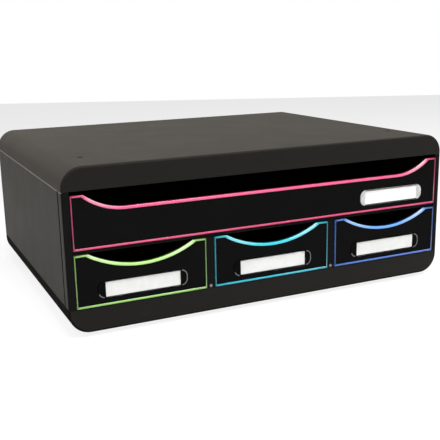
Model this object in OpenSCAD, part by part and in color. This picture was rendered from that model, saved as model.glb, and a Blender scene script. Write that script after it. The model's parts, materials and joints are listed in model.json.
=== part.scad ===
// Desktop drawer box for letter-size papers: one wide drawer over three small ones.
// Millimetres. X runs across the front, +Y to the back, +Z up.
// The origin is under the middle of the box, on the surface that it stands on.

/* [Casing] */
// Width of the casing
casing_w = 355; // [335:1:400]
// Depth of the casing, from its front plane to its back edge
casing_d = 269; // [230:1:320]
// Radius of the four long edges
corner_r = 17; // [12:0.5:18]
// Rounding of the rim round the front
rim_r = 2.2; // [0.8:0.1:2.4]
// Rounding of the rim round the back
rear_rim_r = 1.2; // [0.6:0.1:1.8]
// Thickness of the shells and side panels
wall = 2.6; // [2:0.1:3]
// Height of the band above the wide drawer
top_band_h = 18.5; // [18:0.5:24]
// Height of the band below the small drawers
bottom_band_h = 20; // [18.5:0.5:26]
// Thickness of both bands
band_t = 3; // [2:0.1:4]
// Width of the upright stiles at the front of the side panels
stile_w = 5.8; // [4.6:0.1:8]
// Depth of the stiles
stile_d = 8; // [6:0.5:9]
// Distance of the shadow groove in each side panel behind the casing's front plane
groove_y = 10.2; // [9:0.1:30]
// Width of the shadow grooves
groove_w = 2.4; // [1:0.1:4]
// Depth of the shadow grooves
groove_deep = 1.2; // [0.6:0.1:1.4]
// Bevel of the side panels along their seams with the shells
seam_bevel = 1; // [0.5:0.1:1.1]
// Height of the tongues that locate the side panels in the shells
tongue_h = 3; // [2:0.1:4]
// Thickness of the tongues
tongue_t = 1.6; // [1:0.1:2]

/* [Inner frame] */
// Thickness of the shelf between the wide and the small drawers
shelf_t = 2.4; // [2.2:0.1:3.6]
// Distance of the shelf's front edge behind the casing's front plane
shelf_setback = 1; // [0.4:0.1:3]
// Thickness of the deck under the small drawers
deck_t = 2.2; // [1.8:0.1:3]
// Thickness of the partitions
partition_t = 2.4; // [1.8:0.1:3.2]
// Width of the post at the front of each partition
post_w = 6.7; // [5:0.1:9]
// Depth of the post
post_d = 8; // [6.5:0.5:9]
// Distance of the post's front behind the casing's front plane
post_setback = 0.3; // [0.1:0.1:1]
// Length of the tenons on the partitions
tenon_l = 30; // [15:1:50]
// Height of the tenons
tenon_h = 1.2; // [0.6:0.1:1.6]
// Width of the runner strips under the drawers
runner_w = 4; // [3:0.5:8]
// Height of the runner strips
runner_h = 0.5; // [0.3:0.1:1]
// Distance of a small drawer's runners from its middle
small_runner_x = 40; // [20:1:42]
// Distance of the wide drawer's outer runners from its middle
wide_runner_x = 140; // [80:1:150]
// Thickness of the guide ribs beside the drawers
guide_t = 2; // [1.5:0.1:3]
// Height of the lower guide rib over the bottom of its drawer
guide_low = 11; // [6:0.5:14]
// Height of the upper guide rib over the bottom of its drawer
guide_high = 31; // [24:0.5:33]
// Thickness of the ribs inside the shells
rib_t = 2; // [1.5:0.1:3]
// Depth of the ribs under the roof
roof_rib_h = 4; // [2:0.5:6]
// Number of ribs inside each shell, which are evenly spaced
rib_count = 10; // [9:1:14]
// Thickness of the rails over the wide tray's side walls, which keep it level when it is open
rail_t = 2; // [1.5:0.1:3]
// Width of the ledges that the shelf's ends lie on
shelf_ledge_w = 4; // [2.5:0.1:5]
// Thickness of those ledges
shelf_ledge_t = 2; // [1.5:0.1:3]

/* [Back] */
// Thickness of the back panel
back_t = 2.5; // [2:0.1:3.5]
// Distance of the back panel inside the casing's back edge
back_inset = 1.5; // [0.5:0.1:4]
// Height of the ledge that the back panel seats on
back_ledge_h = 2.5; // [1.5:0.1:3.5]
// Thickness of that ledge
back_ledge_t = 2; // [1.5:0.1:3]

/* [Drawers] */
// Height of the wide drawer
wide_h = 42.6; // [37:0.1:60]
// Height of the small drawers
small_h = 42.7; // [37:0.1:60]
// Distance of the drawer fronts ahead of the casing's front plane
front_proud = 1; // [0.6:0.1:2]
// Thickness of the drawer fronts
front_t = 4.8; // [3.5:0.1:6]
// Thickness of the tray walls
tray_wall = 2; // [1.5:0.1:2.5]
// Thickness of the tray floors
tray_floor = 2; // [1.7:0.1:3]
// Distance of a tray's sides inside the ends of its front
tray_inset = 2.5; // [2:0.1:4]
// Radius of the trays' rear corners
tray_corner_r = 6; // [3:0.5:12]
// Drop of the small trays' walls below the top of the front
small_wall_drop = 1.7; // [1.5:0.1:6]
// Drop of the wide tray's walls below the top of the front
wide_wall_drop = 2.5; // [1.5:0.1:8]
// Clearance behind the closed trays
tray_back_gap = 8.7; // [3:0.1:20]
// Depth of the finger dip in each front
dip_depth = 11.7; // [8:0.1:15]
// Width of the full-height shoulder beside the dip of a small front
small_shoulder = 11.2; // [9:0.1:16]
// Width of the full-height shoulder beside the dip of the wide front
wide_shoulder = 10.2; // [6:0.1:20]
// Length over which the wide front's dip falls to its flat bottom
wide_dip_run = 33; // [20:1:60]
// Distance of the stop nibs ahead of the back of the tray
nib_setback = 35; // [20:1:90]
// Length of a stop nib along its wall
nib_l = 6; // [4:0.5:10]
// Thickness of the nib's upright front
nib_t = 1.5; // [1:0.1:2.5]
// Width of a stop lug under the shelf
lug_w = 8; // [5:0.5:12]
// Thickness of a stop lug
lug_t = 2; // [1.5:0.1:3]
// Drop of a stop lug under the shelf
lug_h = 1.5; // [1:0.1:1.6]

/* [Trims and labels] */
// Width of the coloured trim at the sides of a drawer front
trim_side_w = 0.9; // [0.6:0.1:2.4]
// Width of the trim below the front
trim_low_w = 1.9; // [1:0.1:2.4]
// Width of the trim over the front's shoulders
trim_top_w = 1.4; // [1:0.1:2.4]
// Width of the trim along the finger dip
trim_dip_w = 2.4; // [1:0.1:3]
// Depth of the trim, behind which the front is black
trim_t = 2; // [1.5:0.1:3]
// Distance of the trim ahead of the black front
trim_step = 0.4; // [0.2:0.05:0.5]
// Length of a small drawer's label card
small_card_w = 63.5; // [40:0.5:66]
// Length of the wide drawer's label card
wide_card_w = 58.5; // [40:0.5:90]
// Height of the label cards
card_h = 11.8; // [8:0.1:14]
// Thickness of the label cards
card_t = 0.3; // [0.2:0.05:0.4]
// Margin of a small drawer's label window beyond the card's ends
small_window_end = 5.75; // [3:0.25:8]
// Margin of the wide drawer's label window beyond the card's ends
wide_window_end = 4.25; // [3:0.25:8]
// Margin of the windows above and below the card
window_edge = 1; // [0.8:0.1:2]
// Thickness of the clear windows
window_t = 1.2; // [0.9:0.1:1.4]
// Radius of the windows' corners
window_r = 5.5; // [2:0.1:6]
// Depth of the label recess in the black front
recess_d = 0.85; // [0.7:0.05:1.2]
// Height of the labels' middle over the bottom of the drawer
label_z = 12.9; // [10:0.1:16]
// Distance of the wide label's middle from the right end of the front
wide_label_x = 49.2; // [45:0.1:170]

/* [Feet, pins and sockets] */
// Diameter of the rubber feet
foot_d = 16; // [10:0.5:24]
// Height of the rubber feet
foot_h = 4; // [2:0.5:8]
// Distance of the feet from the casing's sides
foot_x = 27.5; // [20:0.5:60]
// Distance of the feet from the casing's front plane and back edge
foot_y = 44; // [20:1:80]
// Diameter of the sockets in the roof, which lie over the front feet
socket_d = 4.4; // [3:0.1:8]
// Depth of the sockets
socket_deep = 1.4; // [0.6:0.1:1.5]
// Diameter of the heads of the partition pins
pin_head_d = 2.8; // [2:0.1:4]
// Thickness of the heads
pin_head_t = 0.6; // [0.3:0.1:1]
// Diameter of the shanks of the partition pins
pin_d = 1.5; // [1:0.1:2]
// Length of the shanks
pin_l = 4; // [2:0.5:6]
// Height of the pins over the deck
pin_z = 2; // [1.9:0.1:5]

/* [Clearances] */
// Gap beside each drawer front
side_gap = 0.5; // [0.3:0.1:1.5]
// Gap between the small drawers and the shelf
shelf_gap = 0.6; // [0.5:0.1:2]
// Gap between the wide drawer and the band above it
top_gap = 3.2; // [1:0.1:6]
// Gap between a tray and its guide ribs
guide_gap = 0.7; // [0.3:0.1:1.5]
// Gap between fixed pieces that slot together
fit_gap = 0.15; // [0.1:0.05:0.3]
// Gap along the curved rim of the back panel
curve_gap = 0.3; // [0.2:0.05:0.5]
// Gap between a partition pin and its hole
pin_gap = 0.05; // [0.02:0.01:0.1]
// Room between a tray's walls and a stop lug
lug_gap = 0.8; // [0.4:0.1:1]
// Height by which a nib laps a stop lug
nib_lap = 1; // [0.6:0.1:1.2]
// Height by which the wide drawer's nibs lap the band above
wide_nib_lap = 2; // [1:0.1:4]
// Gap between the wide tray's nibs and the rails over them
rail_gap = 0.8; // [0.4:0.1:2]
// Play that is left at a stop when a drawer is fully open
stop_play = 0.3; // [0.2:0.05:1]
// Room behind a closed drawer front, ahead of the stop lugs
lug_setback = 2.8; // [1.5:0.1:4]

/* [Hidden] */
$fn = 96;
// Length that a cutting shape runs past a face
cut = 1;

// Front plane and back edge of the casing, along Y
front_y = -(casing_d - front_proud) / 2;
rear_y = front_y + casing_d;
// Heights that the pieces share, from the casing's underside to its roof
base_z = foot_h;
deck_z = base_z + bottom_band_h;
small_z = deck_z + runner_h;
shelf_z = small_z + small_h + shelf_gap;
wide_z = shelf_z + shelf_t + runner_h;
opening_z = wide_z + wide_h + top_gap;
roof_z = opening_z + top_band_h;
casing_h = roof_z - base_z;

// Drawer fronts and trays
wide_w = casing_w - 2 * (stile_w + side_gap);
small_w = (casing_w - 2 * stile_w - 2 * post_w - 6 * side_gap) / 3;
pitch = small_w + post_w + 2 * side_gap;
trim_y = front_y - front_proud;
face_y = trim_y + trim_step;
front_back_y = face_y + front_t;
// Widths of the trim at the sides, below, over the shoulders and in the dip
trim_edges = [trim_side_w, trim_low_w, trim_top_w, trim_dip_w];
// Seat of the back panel and back of the closed trays
back_seat_y = rear_y - back_inset - back_t;
ledge_y = back_seat_y - back_ledge_t;
tray_back_y = ledge_y - tray_back_gap;
// Stops
lug_y = front_back_y + lug_setback;
lug_z = shelf_z - lug_h;
nib_y = tray_back_y - nib_setback;
small_nib_z = lug_z + nib_lap;
wide_nib_z = opening_z + wide_nib_lap;
rail_z = wide_nib_z + rail_gap;
small_wall_z = min(small_z + small_h - small_wall_drop, lug_z - lug_gap);
wide_wall_z = wide_z + wide_h - wide_wall_drop;
small_travel = nib_y - (lug_y + lug_t) - stop_play;
wide_travel = nib_y - (front_y + band_t) - stop_play;
// Inner faces of the side panels, and the tongues against the shells
inner_x = casing_w / 2 - wall;
tongue_x = inner_x - fit_gap - tongue_t;

colour_shell = "#4a4844";
colour_front = "#232422";
colour_inner = "#1c1c1b";
colour_card = "#f4f3f1";
colour_clear = "#dfe6e8";
colour_rubber = "#191919";
colour_pin = "#b9bab8";
colour_pink = "#e8497f";
colour_green = "#a6d65a";
colour_turquoise = "#2cc4cf";
colour_blue = "#6b9be0";

echo(small_travel = small_travel, wide_travel = wide_travel, casing_h = casing_h, small_w = small_w);

// ---- Shared outlines and blocks ----

// Rectangle with round corners, centred on the origin.
module round_rect(w, h, r) {
    square([w - 2 * r, h], center = true);
    square([w, h - 2 * r], center = true);
    for (x = [-1, 1], y = [-1, 1])
        translate([x * (w / 2 - r), y * (h / 2 - r)]) circle(r);
}

// Outline of the casing in plan, of any width: its front rim lies along X and its depth along +Y.
module rim_plan(w) {
    middle = casing_d / 2;
    translate([-w / 2, rim_r]) square([w, casing_d - rim_r - rear_rim_r]);
    translate([-w / 2 + rim_r, 0]) square([w - 2 * rim_r, middle]);
    translate([-w / 2 + rear_rim_r, middle]) square([w - 2 * rear_rim_r, middle]);
    for (side = [-1, 1]) {
        translate([side * (w / 2 - rim_r), rim_r]) circle(rim_r);
        translate([side * (w / 2 - rear_rim_r), casing_d - rear_rim_r]) circle(rear_rim_r);
    }
}

// Box between two corners.
module block(low, high) {
    translate(low) cube(high - low);
}

// Lays an outline drawn in X and Z upright and gives it a depth, from y_low to y_high.
module upright(y_low, y_high) {
    translate([0, y_high, 0]) rotate([90, 0, 0]) linear_extrude(y_high - y_low) children();
}

// Solid of the whole casing: four round long edges, and round rims at the front and back.
module casing_solid() {
    flat_w = casing_w - 2 * corner_r;
    flat_h = casing_h - 2 * corner_r;
    translate([0, front_y, base_z]) {
        for (x = [-1, 1], z = [corner_r, casing_h - corner_r])
            translate([x * flat_w / 2, 0, z]) rotate([-90, 0, 0]) rotate_extrude()
                intersection() {
                    rim_plan(2 * corner_r);
                    square([corner_r, casing_d]);
                }
        translate([0, 0, corner_r]) linear_extrude(flat_h) rim_plan(casing_w);
        translate([-flat_w / 2, 0, casing_h / 2]) rotate([0, 90, 0]) linear_extrude(flat_w)
            rim_plan(casing_h);
    }
}

// Prism inside the casing's outline, a distance in from it, between two places along Y.
module casing_prism(inset, y_low, y_high) {
    upright(y_low, y_high) translate([0, base_z + casing_h / 2])
        round_rect(casing_w - 2 * inset, casing_h - 2 * inset, corner_r - inset);
}

// Everything hollow inside the shells: the bay, the back ledge's window and the back pocket.
module casing_hollow() {
    casing_prism(wall, front_y + band_t, ledge_y);
    casing_prism(wall + back_ledge_h, ledge_y - cut, back_seat_y + cut);
    casing_prism(wall, back_seat_y, rear_y + cut);
}

// Slice of the casing between two heights.
module casing_slice(z_low, z_high) {
    intersection() {
        casing_solid();
        block([-casing_w, front_y - cut, z_low], [casing_w, rear_y + cut, z_high]);
    }
}

// ---- Casing ----

// Positions of the ribs inside the shells.
rib_places = [for (i = [1:rib_count]) (2 * i / (rib_count + 1) - 1) * inner_x];

module top_shell() color(colour_shell) {
    difference() {
        casing_slice(opening_z, roof_z);
        casing_hollow();
        for (x = [-1, 1])
            translate([x * (casing_w / 2 - foot_x), front_y + foot_y, roof_z - socket_deep])
                cylinder(d = socket_d, h = socket_deep + cut);
    }
    for (x = rib_places)
        block([x - rib_t / 2, front_y + band_t, roof_z - wall - roof_rib_h],
            [x + rib_t / 2, ledge_y, roof_z - wall]);
    // Rails over the side walls of the wide tray, rooted in the round edges
    rail_x = wide_w / 2 - tray_inset - tray_wall / 2;
    intersection() {
        casing_prism(wall / 2, front_y + band_t, ledge_y);
        for (x = [-rail_x, rail_x])
            block([x - rail_t / 2, front_y, rail_z], [x + rail_t / 2, rear_y, roof_z]);
    }
}

module bottom_shell() color(colour_shell) {
    difference() {
        casing_slice(base_z, deck_z);
        casing_hollow();
    }
    for (x = rib_places)
        block([x - rib_t / 2, front_y + band_t, base_z + wall],
            [x + rib_t / 2, ledge_y, deck_z - deck_t]);
}

// Height of the side panels at the left, in X and Z, with a bevel along each seam.
module side_height() {
    bevel_x = -casing_w / 2 + seam_bevel;
    reach = seam_bevel + cut;
    polygon([[bevel_x, deck_z], [0, deck_z], [0, opening_z], [bevel_x, opening_z],
        [bevel_x - reach, opening_z - reach], [bevel_x - reach, deck_z + reach]]);
}

// One side panel, drawn on the left (-X) side.
module side_panel() {
    rail_y = front_y + stile_d;
    low_z = deck_z - cut;
    high_z = opening_z + cut;
    difference() {
        intersection() {
            casing_solid();
            upright(front_y - cut, rear_y + cut) side_height();
            union() {
                block([-casing_w / 2 - cut, front_y - cut, low_z], [-inner_x, rear_y + cut, high_z]);
                block([-casing_w / 2 - cut, front_y - cut, low_z],
                    [-casing_w / 2 + stile_w, rail_y, high_z]);
                block([-inner_x - cut, ledge_y, low_z], [-inner_x + back_ledge_h, back_seat_y, high_z]);
            }
        }
        // Shadow groove that sets off the stile
        block([-casing_w / 2 - cut, front_y + groove_y, low_z],
            [-casing_w / 2 + groove_deep, front_y + groove_y + groove_w, high_z]);
    }
    // Ledge that carries the shelf
    block([-inner_x, rail_y, shelf_z - shelf_ledge_t],
        [-inner_x + shelf_ledge_w, ledge_y, shelf_z]);
    // Guide ribs beside the two rows of drawers
    for (z = [small_z, wide_z], up = [guide_low, guide_high])
        block([-inner_x, rail_y, z + up], [-outer_guide_x, ledge_y, z + up + guide_t]);
    // Tongues into the two shells
    for (z = [[deck_z - tongue_h, deck_z + tongue_h], [opening_z - tongue_h, opening_z + tongue_h]])
        block([-tongue_x - tongue_t, front_y + band_t + fit_gap, z[0]],
            [-tongue_x, ledge_y - fit_gap, z[1]]);
    // Web that joins the tongues to the panel
    for (z = [deck_z, opening_z - tongue_h])
        block([-inner_x, front_y + band_t + fit_gap, z],
            [-tongue_x, ledge_y - fit_gap, z + tongue_h]);
}
// Face of the outer guide ribs
outer_guide_x = wide_w / 2 - tray_inset + guide_gap;

module left_side_panel() color(colour_shell) side_panel();
module right_side_panel() color(colour_shell) mirror([1, 0, 0]) side_panel();

module back_panel() color(colour_inner)
    casing_prism(wall + curve_gap, back_seat_y, back_seat_y + back_t);

// ---- Inner frame ----

// Runner strips under a drawer, from just behind the front to the back ledge.
module runners(places, z) {
    for (x = places)
        block([x - runner_w / 2, front_y + band_t + fit_gap, z],
            [x + runner_w / 2, ledge_y - fit_gap, z + runner_h]);
}

// Places of the partitions' tenons, along Y.
tenon_places = [front_y + casing_d / 4, front_y + casing_d * 3 / 4 - tenon_l];

// Blocks for the tenons of one partition, or with a gap the slots that take them.
module tenons(x, z_low, z_high, gap) {
    for (y = tenon_places)
        block([x - partition_t / 2 - gap, y - gap, z_low],
            [x + partition_t / 2 + gap, y + tenon_l + gap, z_high]);
}

module lower_deck() color(colour_inner) {
    difference() {
        block([-tongue_x + fit_gap, front_y + band_t + fit_gap, deck_z - deck_t],
            [tongue_x - fit_gap, ledge_y - fit_gap, deck_z]);
        for (x = [-pitch / 2, pitch / 2])
            tenons(x, deck_z - tenon_h - fit_gap, deck_z + cut, fit_gap);
    }
    runners([for (i = [-1:1], side = [-1, 1]) i * pitch + side * small_runner_x], deck_z);
}

module mid_shelf() color(colour_inner) {
    stile_x = casing_w / 2 - stile_w - fit_gap;
    difference() {
        union() {
            block([-stile_x, front_y + shelf_setback, shelf_z],
                [stile_x, ledge_y - fit_gap, shelf_z + shelf_t]);
            block([-inner_x + fit_gap, front_y + stile_d + fit_gap, shelf_z],
                [inner_x - fit_gap, ledge_y - fit_gap, shelf_z + shelf_t]);
        }
        for (x = [-pitch / 2, pitch / 2])
            tenons(x, shelf_z - cut, shelf_z + tenon_h + fit_gap, fit_gap);
    }
    runners([-wide_runner_x, 0, wide_runner_x], shelf_z + shelf_t);
    // Stop lugs over the side walls of the small trays
    for (i = [-1:1], side = [-1, 1]) {
        x = i * pitch + side * (small_w / 2 - tray_inset - tray_wall / 2);
        block([x - lug_w / 2, lug_y, lug_z], [x + lug_w / 2, lug_y + lug_t, shelf_z]);
    }
}

// One partition with its post, guide ribs and tenons, at a place along X.
module partition(x) {
    guide_x = pitch / 2 - small_w / 2 + tray_inset - guide_gap;
    post_y = front_y + post_setback;
    difference() {
        union() {
            block([x - post_w / 2, post_y, deck_z], [x + post_w / 2, post_y + post_d, shelf_z]);
            block([x - partition_t / 2, post_y, deck_z],
                [x + partition_t / 2, ledge_y - fit_gap, shelf_z]);
            for (up = [guide_low, guide_high])
                block([x - guide_x, post_y + post_d, small_z + up],
                    [x + guide_x, ledge_y - fit_gap, small_z + up + guide_t]);
            tenons(x, deck_z - tenon_h, shelf_z + tenon_h, 0);
        }
        translate([x, post_y - cut, deck_z + pin_z]) rotate([-90, 0, 0])
            cylinder(d = pin_d + 2 * pin_gap, h = pin_l + pin_gap + cut);
    }
}

module left_partition() color(colour_inner) partition(-pitch / 2);
module right_partition() color(colour_inner) partition(pitch / 2);

// Pin at the foot of a partition's post.
module partition_pin(x) {
    translate([x, front_y + post_setback, deck_z + pin_z]) rotate([-90, 0, 0]) {
        cylinder(d = pin_d, h = pin_l);
        translate([0, 0, -pin_head_t]) cylinder(d = pin_head_d, h = pin_head_t);
    }
}

module left_partition_pin() color(colour_pin) partition_pin(-pitch / 2);
module right_partition_pin() color(colour_pin) partition_pin(pitch / 2);

// ---- Feet ----

// Rubber foot with a bevelled sole.
module foot(x, y) {
    bevel = foot_h / 4;
    translate([x, y, 0]) rotate_extrude() polygon([[0, 0], [foot_d / 2 - bevel, 0],
        [foot_d / 2, bevel], [foot_d / 2, foot_h], [0, foot_h]]);
}
foot_side = casing_w / 2 - foot_x;

module foot_front_left() color(colour_rubber) foot(-foot_side, front_y + foot_y);
module foot_front_right() color(colour_rubber) foot(foot_side, front_y + foot_y);
module foot_rear_left() color(colour_rubber) foot(-foot_side, rear_y - foot_y);
module foot_rear_right() color(colour_rubber) foot(foot_side, rear_y - foot_y);

// ---- Drawers ----
// A drawer is described by [middle x, bottom z, width, height, shoulder, dip run, wall top,
// nib top, card width, window end margin, label x].
wide = [0, wide_z, wide_w, wide_h, wide_shoulder, wide_dip_run, wide_wall_z, wide_nib_z,
    wide_card_w, wide_window_end, wide_w / 2 - wide_label_x];
function small(i) = [i * pitch, small_z, small_w, small_h, small_shoulder,
    small_w / 2 - small_shoulder, small_wall_z, small_nib_z, small_card_w, small_window_end,
    i * pitch];

// Outline of a drawer front with its finger dip. The edges are distances by which it is drawn in
// at the sides, below, over the shoulders and in the dip.
module front_outline(d, edges = [0, 0, 0, 0]) {
    w = d[2];
    h = d[3];
    run = d[5];
    flat = w / 2 - d[4] - run;
    r = (run * run + dip_depth * dip_depth) / (2 * dip_depth);
    translate([d[0], d[1]]) difference() {
        translate([-w / 2 + edges[0], edges[1]]) square([w - 2 * edges[0], h - edges[1] - edges[2]]);
        for (x = [-flat, flat])
            translate([x, h - dip_depth + r]) circle(r + edges[3], $fn = 180);
        if (flat > 0)
            translate([-flat, h - dip_depth - edges[3]])
                square([2 * flat, dip_depth + edges[3] + cut]);
    }
}

// Outline of a label window, grown by a gap.
module window_outline(d, gap) {
    translate([d[10], d[1] + label_z])
        round_rect(d[8] + 2 * (d[9] + gap), card_h + 2 * (window_edge + gap), window_r + gap);
}

// Plan of a tray: square at the front, round at its two rear corners.
module tray_plan(x, half_w, y_low, y_high, r) {
    translate([x - half_w, y_low]) square([2 * half_w, y_high - r - y_low]);
    translate([x - half_w + r, y_low]) square([2 * (half_w - r), y_high - y_low]);
    for (side = [-1, 1])
        translate([x + side * (half_w - r), y_high - r]) circle(r);
}

module tray(d) {
    x = d[0];
    z = d[1];
    half_w = d[2] / 2 - tray_inset;
    difference() {
        union() {
            upright(face_y, front_back_y) front_outline(d, trim_edges);
            upright(trim_y + trim_t, front_back_y) front_outline(d);
            translate([0, 0, z]) linear_extrude(d[6] - z)
                tray_plan(x, half_w, front_back_y, tray_back_y, tray_corner_r);
        }
        // Inside of the tray
        translate([0, 0, z + tray_floor]) linear_extrude(d[3] + cut)
            tray_plan(x, half_w - tray_wall, front_back_y, tray_back_y - tray_wall,
                tray_corner_r - tray_wall);
        // Label recess
        upright(face_y - cut, face_y + recess_d) window_outline(d, fit_gap);
    }
    // Thick root between the floor and the front
    block([x - half_w, front_back_y, z], [x + half_w, front_back_y + tray_wall, z + 2 * tray_floor]);
    // Stop nibs on the side walls, with a ramp behind for fitting the drawer
    for (side = [-1, 1])
        translate([x + side * (half_w - tray_wall / 2) - tray_wall / 2, 0, 0]) rotate([90, 0, 90])
            linear_extrude(tray_wall) polygon([[nib_y, d[6] - tray_floor], [nib_y, d[7]],
                [nib_y + nib_t, d[7]], [nib_y + nib_l, d[6]], [nib_y + nib_l, d[6] - tray_floor]]);
}

module trim(d) {
    upright(trim_y, trim_y + trim_t) difference() {
        front_outline(d);
        front_outline(d, trim_edges);
    }
}

// Label card, against the floor of its recess.
module label_card(d) {
    back = face_y + recess_d;
    translate([d[10] - d[8] / 2, back - card_t, d[1] + label_z - card_h / 2])
        cube([d[8], card_t, card_h]);
}

// Clear window over the card, with a pocket for the card in its back.
module label_window(d) {
    back = face_y + recess_d;
    difference() {
        upright(back - window_t, back) window_outline(d, 0);
        translate([d[10] - d[8] / 2 - fit_gap, back - card_t - fit_gap / 3,
            d[1] + label_z - card_h / 2 - fit_gap])
            cube([d[8] + 2 * fit_gap, card_t + cut, card_h + 2 * fit_gap]);
    }
}

module wide_drawer_tray() color(colour_front) tray(wide);
module wide_drawer_trim() color(colour_pink) trim(wide);
module wide_label_window() color(colour_clear, 0.35) label_window(wide);
module wide_label_card() color(colour_card) label_card(wide);
module left_drawer_tray() color(colour_front) tray(small(-1));
module left_drawer_trim() color(colour_green) trim(small(-1));
module left_label_window() color(colour_clear, 0.35) label_window(small(-1));
module left_label_card() color(colour_card) label_card(small(-1));
module centre_drawer_tray() color(colour_front) tray(small(0));
module centre_drawer_trim() color(colour_turquoise) trim(small(0));
module centre_label_window() color(colour_clear, 0.35) label_window(small(0));
module centre_label_card() color(colour_card) label_card(small(0));
module right_drawer_tray() color(colour_front) tray(small(1));
module right_drawer_trim() color(colour_blue) trim(small(1));
module right_label_window() color(colour_clear, 0.35) label_window(small(1));
module right_label_card() color(colour_card) label_card(small(1));

top_shell();
bottom_shell();
lower_deck();
left_side_panel();
right_side_panel();
back_panel();
mid_shelf();
left_partition();
right_partition();
left_partition_pin();
right_partition_pin();
foot_front_left();
foot_front_right();
foot_rear_left();
foot_rear_right();
wide_drawer_tray();
wide_drawer_trim();
wide_label_window();
wide_label_card();
left_drawer_tray();
left_drawer_trim();
left_label_window();
left_label_card();
centre_drawer_tray();
centre_drawer_trim();
centre_label_window();
centre_label_card();
right_drawer_tray();
right_drawer_trim();
right_label_window();
right_label_card();
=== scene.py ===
"""Looks of a desktop drawer box: one wide paper drawer over three small drawers, with coloured edging."""

import json
import math

import bmesh
import bpy
from mathutils import Matrix, Vector

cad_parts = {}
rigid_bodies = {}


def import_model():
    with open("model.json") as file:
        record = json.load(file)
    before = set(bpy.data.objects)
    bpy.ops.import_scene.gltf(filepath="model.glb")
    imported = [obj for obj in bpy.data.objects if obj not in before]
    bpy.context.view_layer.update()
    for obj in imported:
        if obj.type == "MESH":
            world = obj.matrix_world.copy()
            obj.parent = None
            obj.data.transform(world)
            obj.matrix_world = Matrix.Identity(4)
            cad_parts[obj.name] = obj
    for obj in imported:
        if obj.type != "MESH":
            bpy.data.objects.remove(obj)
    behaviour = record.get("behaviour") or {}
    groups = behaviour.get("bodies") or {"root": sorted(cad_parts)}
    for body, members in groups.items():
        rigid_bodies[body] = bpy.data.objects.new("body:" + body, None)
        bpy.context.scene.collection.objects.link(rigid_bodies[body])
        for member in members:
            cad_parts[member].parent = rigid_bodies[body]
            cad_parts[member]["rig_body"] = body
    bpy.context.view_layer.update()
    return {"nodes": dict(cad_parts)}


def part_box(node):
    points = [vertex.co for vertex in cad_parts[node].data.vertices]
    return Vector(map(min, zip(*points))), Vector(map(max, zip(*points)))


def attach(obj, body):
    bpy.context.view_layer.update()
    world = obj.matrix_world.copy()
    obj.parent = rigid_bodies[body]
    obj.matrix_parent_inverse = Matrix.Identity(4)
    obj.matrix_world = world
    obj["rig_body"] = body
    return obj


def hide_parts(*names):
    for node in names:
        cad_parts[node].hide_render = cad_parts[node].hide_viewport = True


MM = 0.001

# The photograph's viewing angle, in degrees, and the place that its middle shows
CAMERA_AZIMUTH, CAMERA_ELEVATION, CAMERA_ROLL = -24.98, 13.58, -1.17
CAMERA_TARGET = Vector((-49.1, -134.0, 80.7)) * MM
CAMERA_DISTANCE = 617.1 * MM
CAMERA_LENS = 62.04  # millimetres, on the sensor below
CAMERA_SENSOR = 36.0

# The room that reflections show, from its left to its right side, and its even light
ROOM_LEFT, ROOM_RIGHT = (1.36, 1.29, 1.17, 1), (0.66, 0.64, 0.58, 1)
ROOM_FADES = (0.0, 0.9)  # where it fades, as the sideways part of a direction
ROOM_RISES = (0.0, 0.38)  # where it brightens, as the upward part of a direction
ROOM_LOW = 0.28  # share of its light at the floor
AMBIENT = 0.4

# Each lamp's name, place and side in metres, and power in watts, and the height that all point at
LAMPS = (
    ("key", (-1.1, -1.0, 1.3), 1.0, 4.5),
    ("top", (0.1, -0.7, 1.35), 1.0, 22),
    ("rim", (1.3, 0.1, 0.95), 0.8, 5),
)
LAMP_AIM = 0.08

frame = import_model()

DRAWERS = ("wide", "left", "centre", "right")
# The dip's colour is a painted highlight; the body's colour is the edging's own
TRIM_COLOURS = {  # name, colour of the body, and colour of the dip, in which light gathers
    "wide": ("pink", (0.66, 0.06, 0.19), (0.92, 0.12, 0.30)),
    "left": ("green", (0.31, 0.57, 0.16), (0.56, 0.92, 0.26)),
    "centre": ("turquoise", (0.015, 0.43, 0.54), (0.02, 0.72, 0.82)),
    "right": ("blue", (0.06, 0.17, 0.56), (0.17, 0.49, 1.0)),
}


# ---- Materials ----

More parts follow.
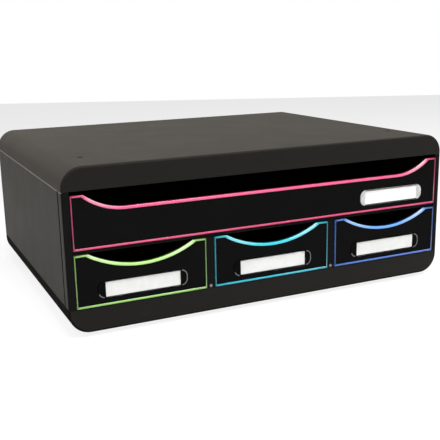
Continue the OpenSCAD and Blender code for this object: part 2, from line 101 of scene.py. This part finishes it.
class Paint:
    """A material's node tree, with short ways to add nodes to it."""

    def __init__(self, name):
        self.material = bpy.data.materials.new(name)
        self.material.use_nodes = True
        self.tree = self.material.node_tree
        self.shader = self.tree.nodes["Principled BSDF"]
        self.output = self.tree.nodes["Material Output"]
        self.place = self.add("ShaderNodeTexCoord").outputs["Object"]

    def add(self, kind, **settings):
        node = self.tree.nodes.new(kind)
        for key, value in settings.items():
            setattr(node, key, value)
        return node

    def link(self, source, target):
        self.tree.links.new(source, target)

    def constant(self, **values):
        """Sets sockets of the shader by name, with underscores for spaces."""
        for key, value in values.items():
            self.shader.inputs[key.replace("_", " ")].default_value = value

    def noise(self, size, detail=2.0, rough=0.5):
        """Noise over the object, with lumps of about that size in millimetres."""
        node = self.add("ShaderNodeTexNoise")
        node.inputs["Scale"].default_value = 1 / (size * MM)
        node.inputs["Detail"].default_value = detail
        node.inputs["Roughness"].default_value = rough
        self.link(self.place, node.inputs["Vector"])
        return node.outputs["Fac"]

    def pits(self, size):
        """Cells over the object, of about that size in millimetres: the grain of an etched mould."""
        node = self.add("ShaderNodeTexVoronoi", feature="F1")
        node.inputs["Scale"].default_value = 1 / (size * MM)
        self.link(self.place, node.inputs["Vector"])
        return node.outputs["Distance"]

    def ramp(self, source, low, high, at=(0.3, 0.7)):
        """Number that goes from low to high while the source goes over the range at, and then stays."""
        node = self.add("ShaderNodeMapRange", clamp=True)
        node.inputs["From Min"].default_value, node.inputs["From Max"].default_value = at
        node.inputs["To Min"].default_value, node.inputs["To Max"].default_value = low, high
        self.link(source, node.inputs["Value"])
        return node.outputs["Result"]

    def axes(self, vector):
        """The X, Y and Z of a vector socket."""
        node = self.add("ShaderNodeSeparateXYZ")
        self.link(vector, node.inputs["Vector"])
        return node.outputs["X"], node.outputs["Y"], node.outputs["Z"]

    def math(self, operation, *values):
        """Sum, product or other operation on numbers or number sockets."""
        node = self.add("ShaderNodeMath", operation=operation)
        for value, socket in zip(values, node.inputs):
            if isinstance(value, bpy.types.NodeSocket):
                self.link(value, socket)
            else:
                socket.default_value = value
        return node.outputs[0]

    def mix(self, factor, low, high):
        """Colour between two colours or colour sockets."""
        node = self.add("ShaderNodeMix", data_type="RGBA")
        for key, value in (("Factor", factor), ("A", low), ("B", high)):
            socket = next(s for s in node.inputs if s.name == key and s.type in ("VALUE", "RGBA")
                          and (key == "Factor" or s.type == "RGBA"))
            if isinstance(value, bpy.types.NodeSocket):
                self.link(value, socket)
            else:
                socket.default_value = value
        return next(s for s in node.outputs if s.type == "RGBA")

    def bump(self, *layers):
        """Adds bumps, each a height socket and a depth in millimetres, to the shader's normal."""
        normal = None
        for height, depth in layers:
            node = self.add("ShaderNodeBump")
            node.inputs["Strength"].default_value = 1.0
            node.inputs["Distance"].default_value = depth * MM
            self.link(height, node.inputs["Height"])
            if normal is not None:
                self.link(normal, node.inputs["Normal"])
            normal = node.outputs["Normal"]
        self.link(normal, self.shader.inputs["Normal"])


def shade(colour, factor=1.0):
    """Opaque colour, lighter or darker by that factor."""
    return tuple(c * factor for c in colour) + (1.0,)


def grey(level):
    """Opaque grey."""
    return shade((level, level, level))


def moulded_plastic(name, colour, grain, depth, rough, mottle=0.12, **constants):
    """Matt moulded plastic: an etched grain of that size and depth in millimetres, faint clouds and wear."""
    paint = Paint(name)
    wear_share, wear_gain = 0.3, 1.35  # how much of the paler wear shows at most, and how much paler it is
    clouds = paint.noise(30, 3)
    specks = paint.noise(grain * 3, 2)
    base = paint.mix(paint.ramp(specks, 0, 1), shade(colour, 1 - mottle), shade(colour, 1 + mottle))
    wear_and_painted_highlight = paint.mix(paint.ramp(clouds, 0, wear_share, (0.45, 0.75)), base, shade(colour, wear_gain))
    paint.link(wear_and_painted_highlight, paint.shader.inputs["Base Color"])
    paint.link(paint.ramp(clouds, rough - 0.02, rough + 0.03), paint.shader.inputs["Roughness"])
    paint.bump((paint.pits(grain), depth), (specks, depth))
    paint.constant(**constants)
    return paint.material


def trim_plastic(name, body, dip_painted_highlight, low, high):
    """Glossy dyed plastic with faint flow marks, for an edging with that box.

    Light and shade are painted into its colour: a painted highlight along its dip, most of all where it faces
    up, whitest on the slopes, painted shade where it turns under or back, and painted shade at its ends and
    down its sides."""
    # Distances in millimetres from the edging's ends, between which each part starts or ends
    slope_start, dip_end, shoulder_start, side_start = (42, 24), (14, 9), (12, 9), (2, 1)
    upper_half = 2  # millimetres to each side of the middle height, over which the upper half starts
    # The power darkens the dye for the flow marks and the painted shade, the factor darkens the painted shade
    # on the ends and sides, and the share of white is for the painted highlight on the slopes
    dye_depth, painted_side_shade_factor, highlight_paleness = 1.8, 0.45, 0.6  # power, factor and share of white in the shades below

    paint = Paint(name)
    middle, reach = (low + high) / 2, (high.x - low.x) / 2
    dye_and_painted_shade = shade(c ** dye_depth for c in body)
    painted_side_shade = shade(body, painted_side_shade_factor)
    wear_and_painted_highlight = shade(highlight_paleness + (1 - highlight_paleness) * c for c in dip_painted_highlight)
    flow = paint.noise(9, 3)
    facing_x, _, facing_z = paint.axes(paint.add("ShaderNodeNewGeometry").outputs["Normal"])
    x, _, z = paint.axes(paint.place)
    aside = paint.math("ABSOLUTE", paint.math("SUBTRACT", x, middle.x))

    def by_ends(span, inside, outside):
        """Goes from one number to the other over a span of distances from the ends."""
        return paint.ramp(aside, inside, outside, tuple(reach - distance * MM for distance in span))

    upper = paint.ramp(z, 0, 1, (middle.z - upper_half * MM, middle.z + upper_half * MM))
    dip = paint.math("MULTIPLY", by_ends(dip_end, 1, 0), upper)
    # Painted highlight: the dip's colour where the dip faces up, and paler still on its slopes
    painted_highlight_mask = paint.math("MULTIPLY", paint.ramp(facing_z, 0.5, 1, (-0.1, 0.5)), dip)
    slope_painted_highlight = paint.math("MAXIMUM", paint.ramp(paint.math("ABSOLUTE", facing_x), 0, 1, (0.1, 0.45)),
                       by_ends(slope_start, 0, 0.4))
    slope_painted_highlight = paint.math("MULTIPLY", slope_painted_highlight, painted_highlight_mask)
    # Painted shade where it turns under, then the painted highlights, then painted shade where it faces
    # straight up
    base = paint.mix(paint.ramp(facing_z, 0, 1, (-0.6, -0.1)), dye_and_painted_shade, shade(body))
    base = paint.mix(painted_highlight_mask, base, shade(dip_painted_highlight))
    base = paint.mix(slope_painted_highlight, base, wear_and_painted_highlight)
    base = paint.mix(paint.ramp(facing_z, 0, 1, (0.85, 1.0)), base, dye_and_painted_shade)
    # Painted shade on the shoulders and down the ends and sides
    base = paint.mix(by_ends(shoulder_start, 0, 0.35), base, painted_side_shade)
    base = paint.mix(by_ends(side_start, 0, 1), base, painted_side_shade)
    base = paint.mix(paint.ramp(flow, 0, 0.1), base, dye_and_painted_shade)
    paint.link(base, paint.shader.inputs["Base Color"])
    paint.link(paint.ramp(flow, 0.2, 0.3), paint.shader.inputs["Roughness"])
    paint.bump((flow, 0.05))
    paint.constant(Coat_Weight=0.5, Coat_Roughness=0.15)
    return paint.material


def clear_plastic(name):
    """Clear moulded plastic that lets the light through to the card behind it."""
    paint = Paint(name)
    haze = paint.noise(5, 2)
    base = paint.mix(paint.ramp(haze, 0, 1), (0.93, 0.95, 0.95, 1), (0.98, 0.99, 0.99, 1))
    paint.link(base, paint.shader.inputs["Base Color"])
    paint.link(paint.ramp(haze, 0.03, 0.08), paint.shader.inputs["Roughness"])
    paint.bump((haze, 0.02))
    paint.constant(Transmission_Weight=1.0, IOR=1.45, Specular_IOR_Level=0.2)
    path = paint.add("ShaderNodeLightPath")
    through = paint.add("ShaderNodeBsdfTransparent")
    both = paint.add("ShaderNodeMixShader")
    paint.link(path.outputs["Is Shadow Ray"], both.inputs["Fac"])
    paint.link(paint.shader.outputs["BSDF"], both.inputs[1])
    paint.link(through.outputs["BSDF"], both.inputs[2])
    paint.link(both.outputs["Shader"], paint.output.inputs["Surface"])
    return paint.material


def frosted_plastic(name, white):
    """Clear plastic where it scatters the light, with that whiteness; a dim one serves as a painted glint on
    a rim.
    """
    paint = Paint(name)
    haze = paint.noise(2, 2)
    base = paint.mix(paint.ramp(haze, 0, 1), grey(0.88 * white), grey(1.12 * white))
    paint.link(base, paint.shader.inputs["Base Color"])
    paint.link(paint.ramp(haze, 0.3, 0.4), paint.shader.inputs["Roughness"])
    paint.bump((haze, 0.02))
    return paint.material


def card_paper(name, white):
    """Plain card of that whiteness with a faint fibre."""
    paint = Paint(name)
    fibre = paint.noise(0.8, 4, 0.7)
    clouds = paint.noise(14, 2)
    tint = tuple(white * c for c in (1.0, 0.99, 0.985))
    base = paint.mix(paint.ramp(fibre, 0, 1), shade(tint, 0.97), shade(tint, 1.02))
    base = paint.mix(paint.ramp(clouds, 0, 0.3), base, shade(tint, 0.96))
    paint.link(base, paint.shader.inputs["Base Color"])
    paint.link(paint.ramp(fibre, 0.7, 0.85), paint.shader.inputs["Roughness"])
    paint.bump((fibre, 0.03))
    return paint.material


# Moulded plastics and rubber: colour, grain and its depth in millimetres, roughness, shader constants
MOULDED = {
    "casing_plastic": ((0.0074, 0.0072, 0.0065), 0.45, 0.03, 0.56, {
        "Specular_IOR_Level": 0.1, "Specular_Tint": (1.0, 0.97, 0.92, 1),
        "Sheen_Weight": 0.063, "Sheen_Roughness": 0.5, "Sheen_Tint": (1.0, 0.92, 0.78, 1)}),
    # Painted shade: a darker, duller copy of the casing plastic for faces turned down and for rims
    "casing_painted_shade": ((0.0060, 0.0058, 0.0054), 0.45, 0.03, 0.8, {"Specular_IOR_Level": 0.02}),
    # Painted highlight for the side panels' seam edges
    "seam_painted_highlight": ((0.20, 0.19, 0.17), 0.45, 0.02, 0.4, {"Specular_IOR_Level": 0.5}),
    # Painted light: a paler copy of the black plastic for faces turned to the back or straight down
    "back_painted_light": ((0.022, 0.021, 0.019), 0.45, 0.03, 0.5, {"Specular_IOR_Level": 0.3}),
    "inner_plastic": ((0.004, 0.004, 0.004), 0.6, 0.03, 0.5, {"Specular_IOR_Level": 0.06}),
    "drawer_plastic": ((0.0042, 0.0043, 0.0044), 0.5, 0.03, 0.6, {"Specular_IOR_Level": 0.02}),
    "tray_plastic": ((0.014, 0.014, 0.014), 0.5, 0.03, 0.45, {"Specular_IOR_Level": 0.25}),
    "foot_rubber": ((0.020, 0.020, 0.020), 0.8, 0.08, 0.8, {}),
    "pin_plastic": ((0.15, 0.15, 0.14), 0.4, 0.02, 0.35, {}),
    "dark_end": ((0.002, 0.002, 0.002), 0.8, 0.005, 0.25, {"Specular_IOR_Level": 0.03}),
}
MATERIALS = {name: moulded_plastic(name, *made[:-1], **made[-1]) for name, made in MOULDED.items()}
MATERIALS["clear_plastic"] = clear_plastic("clear_plastic")
# The first scatters the light; the second is a painted glint for the small windows' rims
for name, white in (("frosted_end", 0.52), ("window_edge", 0.12)):
    MATERIALS[name] = frosted_plastic(name, white)
for name, white in (("label_card", 0.70), ("wide_label_card", 0.80)):
    MATERIALS[name] = card_paper(name, white)
for drawer, (colour_name, body, dip_painted_highlight) in TRIM_COLOURS.items():
    MATERIALS["trim_" + colour_name] = trim_plastic("trim_" + colour_name, body, dip_painted_highlight,
                                                    *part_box(drawer + "_drawer_trim"))


# ---- Pieces ----

SHARP = math.radians(25)  # an edge that turns more than this is a corner, and not part of a curve
FLAT = math.radians(0.5)  # faces that turn less than this are one flat face
WELD = 0.002 * MM  # corners closer than this are one
SAME_PLANE = 0.01 * MM  # points closer than this to a plane lie in it
ROOM_SHARE = 0.4  # largest share of the shortest edge beside it that a rounded corner takes
SQUARE_ON = 0.95  # part of a normal along an axis from which the face lies square to it


def new_piece(node, bm):
    """Object with that mesh, named after the CAD node that it will stand for."""
    mesh = bpy.data.meshes.new(node + "_finish")
    bm.to_mesh(mesh)
    bm.free()
    piece = bpy.data.objects.new(node + "_finish", mesh)
    bpy.context.scene.collection.objects.link(piece)
    return piece


def finish_piece(piece, node, slot, more=()):
    """Gives a piece its materials, slot and body, and lets it stand for a CAD node."""
    for material in (slot, *more):
        piece.data.materials.append(MATERIALS[material])
    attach(piece, frame["nodes"][node]["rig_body"])
    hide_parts(node)


def room_at(edge):
    """Length of the shortest edge that meets this one in either of its faces."""
    around = [other for face in edge.link_faces for other in face.edges
              if other is not edge and set(other.verts) & set(edge.verts)]
    return min(other.calc_length() for other in around)


def softened(node, slot, width, segments=2, share=None, prepare=None, finish=None, more=()):
    """Copy of a CAD node whose corners are rounded to a width in millimetres.

    share, where given, says for an edge what part of that width it takes. prepare edits the mesh first and
    finish the rounded one, and both may give its faces the numbers of more materials."""
    bm = bmesh.new()
    bm.from_mesh(frame["nodes"][node].data)
    bmesh.ops.remove_doubles(bm, verts=bm.verts, dist=WELD)
    bmesh.ops.dissolve_limit(bm, angle_limit=FLAT, verts=bm.verts, edges=bm.edges)
    if prepare:
        prepare(bm)
    weight = bm.edges.layers.float.new("bevel_weight_edge")
    for edge in bm.edges:
        if len(edge.link_faces) != 2 or edge.calc_face_angle(0) < SHARP:
            continue
        want = width * MM * (share(edge) if share else 1)
        edge[weight] = min(want, ROOM_SHARE * room_at(edge)) / (width * MM)
    piece = new_piece(node, bm)
    piece.data.set_sharp_from_angle(angle=SHARP)
    bevel = piece.modifiers.new("Soft corners", "BEVEL")
    bevel.width = width * MM
    bevel.segments = segments
    bevel.limit_method = "WEIGHT"
    bevel.use_clamp_overlap = False
    if finish:
        rounded = piece.evaluated_get(bpy.context.evaluated_depsgraph_get())
        bm = bmesh.new()
        bm.from_mesh(rounded.data)
        piece.modifiers.clear()
        finish(bm)
        bm.to_mesh(piece.data)
        bm.free()
    normals = piece.modifiers.new("Flat faces stay flat", "WEIGHTED_NORMAL")
    normals.keep_sharp = True
    finish_piece(piece, node, slot, more)


def lathed(node, slot, profile, axis, steps=48):
    """Turned piece in place of a CAD node: profile is [(radius, height)] in millimetres along an axis.

    axis is the lowest point of the turning axis and its direction."""
    base, direction = axis
    turn = Vector((0, 0, 1)).rotation_difference(direction)
    bm = bmesh.new()
    rings = []
    for radius, height in profile:
        points = 1 if radius == 0 else steps
        rings.append([bm.verts.new(base + turn @ Vector((
            radius * MM * math.cos(2 * math.pi * i / steps),
            radius * MM * math.sin(2 * math.pi * i / steps), height * MM)))
            for i in range(points)])
    for low, high in zip(rings, rings[1:]):
        for i in range(steps):
            j = (i + 1) % steps
            corners = [low[i % len(low)], low[j % len(low)], high[j % len(high)], high[i % len(high)]]
            bm.faces.new(list(dict.fromkeys(corners)))
    bmesh.ops.recalc_face_normals(bm, faces=bm.faces)
    piece = new_piece(node, bm)
    mesh = piece.data
    mesh.polygons.foreach_set("use_smooth", [True] * len(mesh.polygons))
    mesh.set_sharp_from_angle(angle=SHARP)
    finish_piece(piece, node, slot)


def at_front_of(node):
    """Rule for softened(): only the edges in the frontmost plane of that node."""
    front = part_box(node)[0].y
    return lambda edge: 1.0 if all(abs(v.co.y - front) < SAME_PLANE for v in edge.verts) else 0.0


def bead_on(node):
    """Rule for softened(): rounds a trim's outer front edges, fully above and less below, and its other
    front edges a little."""
    low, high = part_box(node)
    centre = (low + high) / 2
    above, below, little = 1.0, 0.7, 0.35

    def share(edge):
        if any(abs(v.co.y - low.y) > SAME_PLANE for v in edge.verts):
            return 0.0
        wall = max(edge.link_faces, key=lambda face: face.normal.y)
        place = (edge.verts[0].co + edge.verts[1].co) / 2 - centre
        upper = place.z > 0.0
        outer = (wall.normal.z > 0) == upper
        if abs(wall.normal.x) > SQUARE_ON or not outer:
            return little
        return above if upper else below
    return share


def by_normal(*rules):
    """Edit for softened(): a face takes the material number of the first rule that its normal and its middle
    meet, or else 0."""
    def paint_faces(bm):
        bm.normal_update()
        for face in bm.faces:
            middle = face.calc_center_median()
            face.material_index = next((number for number, rule in rules if rule(face.normal, middle)), 0)
    return paint_faces


def make_casing():
    """Shells, side panels and inner frame.

    The shells carry painted shade where they face down, round their back rims and on the rim round their
    lower right, and a painted lighter tone behind and on the flat underside. A side panel's seam edges carry
    a painted highlight, lighter than its face, and the front of its stile is as black as the frame."""
    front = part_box("left_side_panel")[0].y
    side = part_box("right_side_panel")[1].x
    seam_depth, stile_depth = 2 * MM, 3 * MM  # from the panels' outer faces, and from their front
    # Parts of a normal along an axis, from which a face counts as turned that way
    barely, partly, leaning, slanted, mostly = 0.15, 0.25, 0.3, 0.4, 0.5
    more_shell = ("casing_painted_shade", "back_painted_light")
    # On the shells, material 1 is painted shade and material 2 a painted lighter tone
    softened("top_shell", "casing_plastic", 0.8, more=more_shell, finish=by_normal(
        (2, lambda n, at: n.y > SQUARE_ON),
        (1, lambda n, at: n.y > barely or n.x > partly and n.y < -partly)))
    softened("bottom_shell", "casing_plastic", 0.8, more=more_shell, finish=by_normal(
        (2, lambda n, at: n.y > SQUARE_ON or n.z < -SQUARE_ON),
        (1, lambda n, at: n.z < -barely or n.y > barely or n.x < -mostly or n.x > barely)))
    for panel in ("left_side_panel", "right_side_panel"):
        # On the side panels, material 1 is a painted highlight on the seam edges, and material 2 the black of
        # the frame on the stile's front
        softened(panel, "casing_plastic", 0.3, more=("seam_painted_highlight", "inner_plastic"), prepare=by_normal(
            (1, lambda n, at: abs(n.z) > slanted and abs(n.x) > slanted and abs(at.x) > side - seam_depth),
            (2, lambda n, at: n.y < -leaning and at.y < front + stile_depth)))
    for node in ("lower_deck", "mid_shelf", "left_partition", "right_partition"):
        softened(node, "inner_plastic", 0.3)
    # On the back panel, material 1 is a painted lighter tone on all but its front faces
    softened("back_panel", "inner_plastic", 0.3, more=("back_painted_light",), finish=by_normal(
        (1, lambda n, at: n.y > -mostly)))


def make_feet():
    """Rubber feet: a bevelled sole with a round groove and a slightly hollow middle."""
    hollow, groove, rise, blend = 0.4, 0.35, 0.06, 0.2  # millimetres; the last two round the bevel's ends
    for node in frame["nodes"]:
        if not node.startswith("foot_"):
            continue
        low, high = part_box(node)
        r, h = (high.x - low.x) / 2 / MM, (high.z - low.z) / MM
        bevel = h / 4
        profile = [(0, hollow), (r * 0.45, hollow), (r * 0.5, 0),
                   (r * 0.62, 0), (r * 0.66, groove), (r * 0.72, groove), (r * 0.76, 0),
                   (r - bevel - blend, 0), (r - bevel, rise),
                   (r - blend / 2, bevel - blend / 2), (r, bevel + blend), (r, h), (0, h)]
        middle_low = Vector(((low.x + high.x) / 2, (low.y + high.y) / 2, low.z))
        lathed(node, "foot_rubber", profile, (middle_low, Vector((0, 0, 1))))


def make_pins():
    """Pins at the foot of the posts, with domed heads."""
    head, shank_r = 0.6, 0.75  # the head's thickness and the shank's radius, in millimetres
    dome_share = 0.75  # of the head's thickness
    for node in ("left_partition_pin", "right_partition_pin"):
        low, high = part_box(node)
        r, length = (high.x - low.x) / 2 / MM, (high.y - low.y) / MM
        dome = [(r * math.sin(math.radians(a)), dome_share * head * (1 - math.cos(math.radians(a))))
                for a in (0, 20, 40, 60, 75, 90)]
        profile = dome + [(r, head), (shank_r, head), (shank_r, length), (0, length)]
        tip = Vector(((low.x + high.x) / 2, low.y, (low.z + high.z) / 2))
        lathed(node, "pin_plastic", profile, (tip, Vector((0, 1, 0))), steps=32)


def make_window(label, frosted):
    """Clear label window. Its ends beside the card scatter the light, or else show the dark plastic behind
    and a rim with a painted glint, all round the right one and at the lower corner of the left one."""
    window = label + "_window"
    card_low, card_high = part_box(label + "_card")
    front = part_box(window)[0].y
    lap = 0.5 * MM  # by which the ends lap the card
    rim = 0.8 * MM  # width of the rim
    straight = 1 * MM  # of the rim beside the card, which stays dark
    painted_glint_top = card_low.z + 3 * MM  # top of the rim at the left end's lower corner
    left, right = card_low.x + lap, card_high.x - lap
    # The last material number is for the painted glint
    clear, end, edge = 0, 1, 2  # material numbers
    facing = 0.9  # part of a normal along Y from which a face shows to the front or the back

    def part_ends(bm):
        for x in (left, right):
            bmesh.ops.bisect_plane(bm, geom=bm.verts[:] + bm.edges[:] + bm.faces[:],
                                   plane_co=(x, 0, 0), plane_no=(1, 0, 0))
        bm.normal_update()
        for face in bm.faces:
            over_card = abs(face.normal.y) > facing and left < face.calc_center_median().x < right
            face.material_index = clear if over_card else end
        if not frosted:
            paint_rims(bm)

    def paint_rims(bm):
        """Paints a rim round the front faces of the two ends, parts of it a painted glint."""
        faces = [face for face in bm.faces
                 if face.calc_center_median().y < front + SAME_PLANE and face.normal.y < -facing]
        faces.sort(key=lambda face: face.calc_center_median().x)
        inset = bmesh.ops.inset_individual(bm, faces=[faces[0], faces[-1]], thickness=rim)
        for face in inset["faces"]:
            at = face.calc_center_median()
            # Painted glint on the rim: all round the right end beyond its straight part, and at the left
            # end's lower corner
            painted_glint = at.x < left - straight and at.z < painted_glint_top
            face.material_index = edge if painted_glint or at.x > right + straight else end

    softened(window, "clear_plastic", 0.4, 3, at_front_of(window), finish=part_ends,
             more=("frosted_end",) if frosted else ("dark_end", "window_edge"))


def make_drawer(name):
    """Drawer with a black front, a paler tray, coloured edging, label window and card."""
    label = name + "_label"
    tray, trim, card = name + "_drawer_tray", name + "_drawer_trim", frame["nodes"][label + "_card"]
    front, front_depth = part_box(tray)[0].y, 4 * MM
    softened(tray, "drawer_plastic", 0.4, more=("tray_plastic",),
             finish=by_normal((1, lambda n, at: at.y > front + front_depth)))
    softened(trim, "trim_" + TRIM_COLOURS[name][0], 1.1, 4, bead_on(trim))
    make_window(label, frosted=name == "wide")
    card.data.materials.clear()
    card.data.materials.append(MATERIALS["wide_label_card" if name == "wide" else "label_card"])


make_casing()
make_feet()
make_pins()
for drawer in DRAWERS:
    make_drawer(drawer)


# ---- Floor, light and camera ----

def make_floor():
    """Pale table top, square to the camera, whose far edge shows behind the object."""
    half = 2.1  # metres from its middle to its sides
    bm = bmesh.new()
    bmesh.ops.create_grid(bm, x_segments=1, y_segments=1, size=half)
    mesh = bpy.data.meshes.new("floor")
    bm.to_mesh(mesh)
    bm.free()
    floor = bpy.data.objects.new("floor", mesh)
    floor.rotation_euler.z = math.radians(CAMERA_AZIMUTH)
    bpy.context.scene.collection.objects.link(floor)
    mesh.materials.append(floor_paint())


def floor_paint():
    """Pale grey in the light, and to the camera mostly white, a little greyer towards the far edge."""
    near_glow, far_glow, glow_share = 1.22, 0.96, 0.7
    fade = (-0.1, 0.5)  # metres behind the middle, over which it goes greyer
    paint = Paint("floor")
    base = paint.mix(paint.ramp(paint.noise(300, 2), 0, 1), grey(0.82), grey(0.84))
    paint.link(base, paint.shader.inputs["Base Color"])
    paint.constant(Roughness=0.9, Specular_IOR_Level=0.1)
    _, away, _ = paint.axes(paint.place)
    glow = paint.add("ShaderNodeEmission")
    paint.link(paint.mix(paint.ramp(away, 0, 1, fade), grey(near_glow), grey(far_glow)), glow.inputs["Color"])
    seen = paint.add("ShaderNodeLightPath").outputs["Is Camera Ray"]
    both = paint.add("ShaderNodeMixShader")
    paint.link(paint.math("MULTIPLY", seen, glow_share), both.inputs["Fac"])
    paint.link(paint.shader.outputs["BSDF"], both.inputs[1])
    paint.link(glow.outputs["Emission"], both.inputs[2])
    paint.link(both.outputs["Shader"], paint.output.inputs["Surface"])
    return paint.material


def make_world():
    """White to the camera, soft even light on the object, and in reflections a warm pale room that is darker
    to the right and towards the floor."""
    world = bpy.data.worlds.new("studio")
    bpy.context.scene.world = world
    world.use_nodes = True
    tree = world.node_tree
    tree.nodes.clear()

    def background(strength, colour=(1, 1, 1, 1)):
        node = tree.nodes.new("ShaderNodeBackground")
        node.inputs["Strength"].default_value = strength
        node.inputs["Color"].default_value = colour
        return node

    def choose(factor, low, high):
        node = tree.nodes.new("ShaderNodeMixShader")
        tree.links.new(factor, node.inputs["Fac"])
        tree.links.new(low.outputs[0], node.inputs[1])
        tree.links.new(high.outputs[0], node.inputs[2])
        return node

    def rising(source, span, low=0.0):
        node = tree.nodes.new("ShaderNodeMapRange")
        node.inputs["From Min"].default_value, node.inputs["From Max"].default_value = span
        node.inputs["To Min"].default_value = low
        tree.links.new(source, node.inputs["Value"])
        return node.outputs["Result"]

    path = tree.nodes.new("ShaderNodeLightPath")
    mirrored = tree.nodes.new("ShaderNodeMath")
    mirrored.operation = "MAXIMUM"
    tree.links.new(path.outputs["Is Glossy Ray"], mirrored.inputs[0])
    tree.links.new(path.outputs["Is Transmission Ray"], mirrored.inputs[1])
    towards = tree.nodes.new("ShaderNodeSeparateXYZ")
    tree.links.new(tree.nodes.new("ShaderNodeTexCoord").outputs["Generated"], towards.inputs["Vector"])
    sides = choose(rising(towards.outputs["X"], ROOM_FADES),
                   background(1, ROOM_LEFT), background(1, ROOM_RIGHT))
    room = choose(rising(towards.outputs["Z"], ROOM_RISES, ROOM_LOW), background(0), sides)
    unseen = choose(mirrored.outputs[0], background(AMBIENT), room)
    output = tree.nodes.new("ShaderNodeOutputWorld")
    tree.links.new(choose(path.outputs["Is Camera Ray"], unseen, background(1)).outputs[0],
                   output.inputs["Surface"])


def softbox(name, place, size, power):
    """Square lamp that points at the object."""
    light = bpy.data.lights.new(name, "AREA")
    light.size = size
    light.energy = power
    lamp = bpy.data.objects.new(name, light)
    lamp.location = place
    lamp.rotation_mode = "QUATERNION"
    lamp.rotation_quaternion = (Vector((0, 0, LAMP_AIM)) - Vector(place)).to_track_quat("-Z", "Y")
    lamp.visible_camera = False
    bpy.context.scene.collection.objects.link(lamp)


def make_camera():
    """Camera of the photograph."""
    a, e, roll = (math.radians(x) for x in (CAMERA_AZIMUTH, CAMERA_ELEVATION, CAMERA_ROLL))
    back = Vector((math.sin(a) * math.cos(e), -math.cos(a) * math.cos(e), math.sin(e)))
    right = (-back).cross(Vector((0, 0, 1))).normalized()
    up = right.cross(-back)
    right, up = (right * math.cos(roll) + up * math.sin(roll),
                 up * math.cos(roll) - right * math.sin(roll))
    data = bpy.data.cameras.new("camera")
    data.lens = CAMERA_LENS
    data.sensor_width = CAMERA_SENSOR
    data.clip_start = 10 * MM
    camera = bpy.data.objects.new("camera", data)
    turned = Matrix((right, up, back)).transposed().to_4x4()
    camera.matrix_world = Matrix.Translation(CAMERA_TARGET + back * CAMERA_DISTANCE) @ turned
    bpy.context.scene.collection.objects.link(camera)
    bpy.context.scene.camera = camera


make_floor()
make_world()
for lamp in LAMPS:
    softbox(*lamp)
make_camera()
bpy.context.scene.view_settings.view_transform = "Standard"
